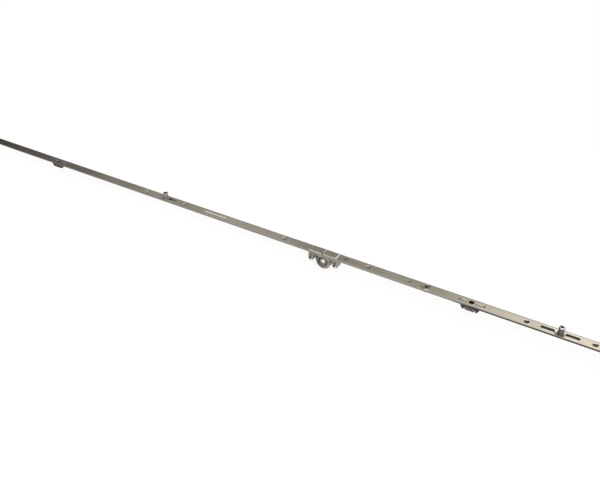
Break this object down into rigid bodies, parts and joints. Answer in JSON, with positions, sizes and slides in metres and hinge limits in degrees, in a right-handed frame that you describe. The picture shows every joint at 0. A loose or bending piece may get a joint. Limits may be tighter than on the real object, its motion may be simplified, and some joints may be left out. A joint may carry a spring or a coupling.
{
  "type": "window espagnolette",
  "caption": "Long slotted strip with a handle-driven gear, a sliding toothed rod behind it, packers and adjustable locking cams, for the edge of a window sash.",
  "frame": {"origin": "centre of the handle's square hole, at the middle of the strip's width", "axes": "+X along the strip towards its lower end, +Y from the room to the outside, square to the handle's spindle, +Z out of the strip's face towards the window frame"},
  "size_m": [1.273, 0.016, 0.0379],
  "materials": {
    "strip_steel": "zinc-plated and brushed along its length, with a warm silver passivation",
    "rod_steel": "zinc-plated strip steel, plain",
    "cover_steel": "zinc-plated and brushed, with bright bevels",
    "die_cast": "zinc die casting with a fine dull skin",
    "rivet_steel": "zinc-plated, upset heads",
    "gear_metal": "sintered steel, bright where it is worked",
    "black_plastic": "moulded, slightly brown in the light",
    "pin_plastic": "red-brown moulded plastic",
    "disc_steel": "nickel-plated, polished",
    "stud_steel": "turned and pressed steel, bright zinc",
    "roller_steel": "turned steel, nickel-plated"
  },
  "bodies": {
    "frame": {"faceplate": "strip_steel", "gear_cover": "cover_steel", "gear_case_near": "die_cast", "gear_case_far": "die_cast", "case_rivets": "rivet_steel", "upper_packer": "black_plastic", "lower_packer": "black_plastic", "packer_rivets": "rivet_steel", "guide_rivets": "rivet_steel", "guide_eyelet": "rivet_steel", "centering_pin": "pin_plastic"},
    "rod": {"drive_rod": "rod_steel", "upper_cam_disc": "disc_steel", "lower_cam_disc": "disc_steel", "cam_washers": "rod_steel"},
    "follower": {"follower_gear": "gear_metal"},
    "upper_stud": {"upper_cam_stud": "stud_steel"},
    "lower_stud": {"lower_cam_stud": "stud_steel"},
    "upper_roller": {"upper_cam_roller": "roller_steel"},
    "lower_roller": {"lower_cam_roller": "roller_steel"}
  },
  "joints": [
    {"name": "rod_slide", "type": "slide", "parent": "frame", "child": "rod", "axis": [1, 0, 0], "range_m": [-0.017, 0.017]},
    {"name": "follower_turn", "type": "hinge", "parent": "frame", "child": "follower", "pos_m": [0, 0, 0], "axis": [0, 1, 0], "range_deg": [-90, 90]},
    {"name": "upper_cam_adjust", "type": "hinge", "parent": "rod", "child": "upper_stud", "pos_m": [-0.3248, 0, 0.01085], "axis": [0, 0, 1], "range_deg": [-90, 90]},
    {"name": "lower_cam_adjust", "type": "hinge", "parent": "rod", "child": "lower_stud", "pos_m": [0.354, 0, 0.01085], "axis": [0, 0, 1], "range_deg": [-90, 90]},
    {"name": "upper_roller_spin", "type": "hinge", "parent": "upper_stud", "child": "upper_roller", "pos_m": [-0.324, 0, 0.02], "axis": [0, 0, 1], "continuous": true},
    {"name": "lower_roller_spin", "type": "hinge", "parent": "lower_stud", "child": "lower_roller", "pos_m": [0.3548, 0, 0.02], "axis": [0, 0, 1], "continuous": true}
  ],
  "couplings": [
    {"joint": "follower_turn", "follows": "rod_slide", "rad_per_m": 92.166}
  ]
}
